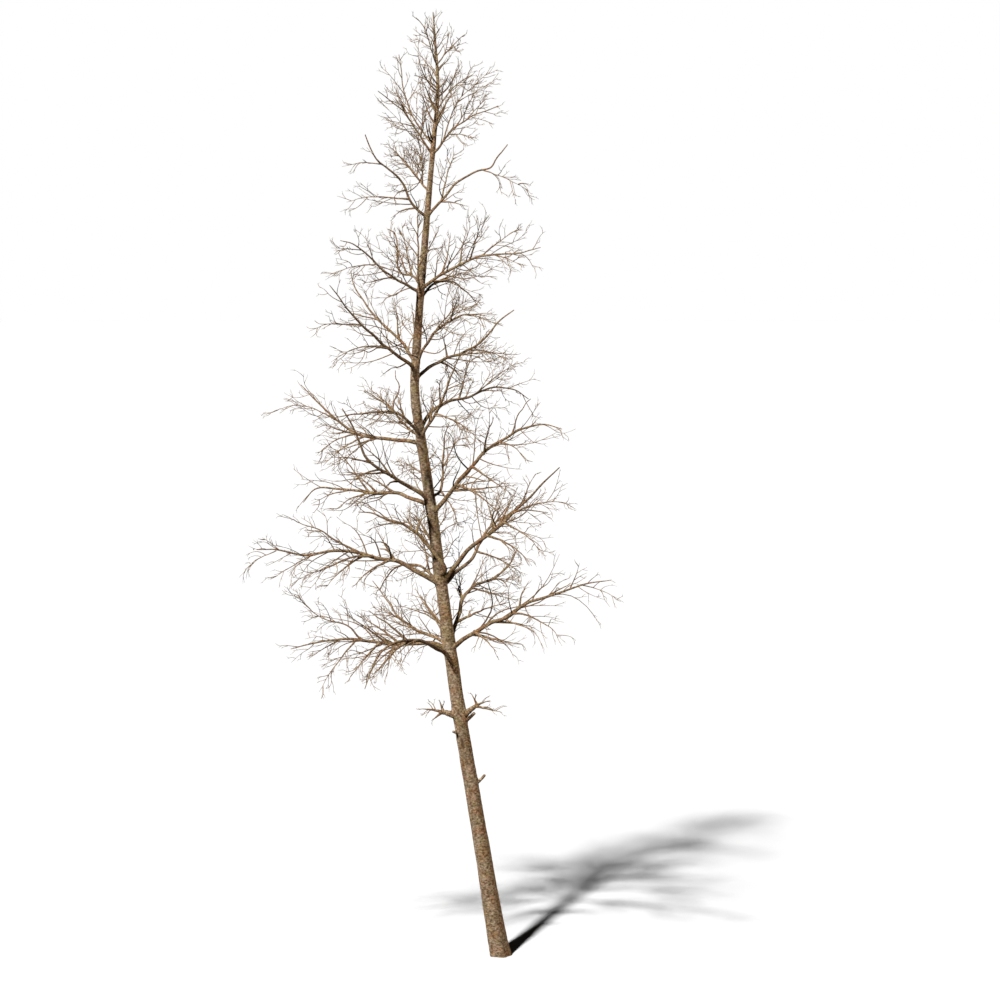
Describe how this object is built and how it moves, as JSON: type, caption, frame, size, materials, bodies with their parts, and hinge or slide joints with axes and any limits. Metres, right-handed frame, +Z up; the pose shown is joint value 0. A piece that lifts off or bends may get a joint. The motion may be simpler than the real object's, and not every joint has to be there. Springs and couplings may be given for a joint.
{
  "type": "dead pine tree",
  "caption": "Tall dead pine with a leaning bare trunk, whorled tapering boughs, snapped snags and masses of fine bare twigs, rooted upright in level ground.",
  "frame": {"origin": "the middle of the flat cut under the trunk, at ground level", "axes": "+Z up along the tree's height, +X to the right and +Y away from the viewer as the picture shows the tree"},
  "size_m": [5.5149, 4.6613, 14],
  "materials": {
    "bark": "weathered grey-brown bark, dry and matte",
    "bough_bark": "weathered thin bark of dead boughs, matte",
    "bare_twigs": "dry dead twigs without needles, matte"
  },
  "bodies": {
    "root": {"trunk": "bark", "stub_right": "bark", "stub_left": "bark", "stub_low_right": "bark", "bough_w1_left_low": "bough_bark", "bough_w1_left": "bough_bark", "bough_w1_right": "bough_bark", "bough_w2_left": "bough_bark", "bough_w2_right": "bough_bark", "bough_w2_right_back": "bough_bark", "bough_w3_left": "bough_bark", "bough_w3_left_low": "bough_bark", "bough_w3_right": "bough_bark", "bough_w4_left": "bough_bark", "bough_w4_right_back": "bough_bark", "bough_w5_right_back": "bough_bark", "twigs_low_left": "bare_twigs", "twigs_low_right": "bare_twigs", "twigs_w1_left_low": "bare_twigs", "twigs_w1_left": "bare_twigs", "twigs_w1_left_back": "bare_twigs", "twigs_w1_right": "bare_twigs", "twigs_w1_right_back": "bare_twigs", "twigs_w1_back": "bare_twigs", "twigs_w2_left": "bare_twigs", "twigs_w2_left_back": "bare_twigs", "twigs_w2_front": "bare_twigs", "twigs_w2_right": "bare_twigs", "twigs_w2_right_back": "bare_twigs", "twigs_w2_back": "bare_twigs", "twigs_w3_left": "bare_twigs", "twigs_w3_left_low": "bare_twigs", "twigs_w3_right": "bare_twigs", "twigs_w3_right_back": "bare_twigs", "twigs_w3_back": "bare_twigs", "twigs_w4_left": "bare_twigs", "twigs_w4_left_front": "bare_twigs", "twigs_w4_left_back": "bare_twigs", "twigs_w4_right_back": "bare_twigs", "twigs_w4_right_front": "bare_twigs", "twigs_w5_left": "bare_twigs", "twigs_w5_left_back": "bare_twigs", "twigs_w5_right_front": "bare_twigs", "twigs_w5_right_back": "bare_twigs", "twigs_w5_back": "bare_twigs", "twigs_w6_left": "bare_twigs", "twigs_w6_left_back": "bare_twigs", "twigs_w6_front": "bare_twigs", "twigs_w6_right": "bare_twigs", "twigs_w6_right_back": "bare_twigs", "twigs_w7_left": "bare_twigs", "twigs_w7_left_back": "bare_twigs", "twigs_w7_right": "bare_twigs", "twigs_w8_left": "bare_twigs", "twigs_w8_left_back": "bare_twigs", "twigs_w8_right": "bare_twigs", "twigs_w9_left": "bare_twigs", "twigs_w9_right": "bare_twigs", "twigs_top_left": "bare_twigs", "twigs_top_right": "bare_twigs"}
  },
  "joints": []
}
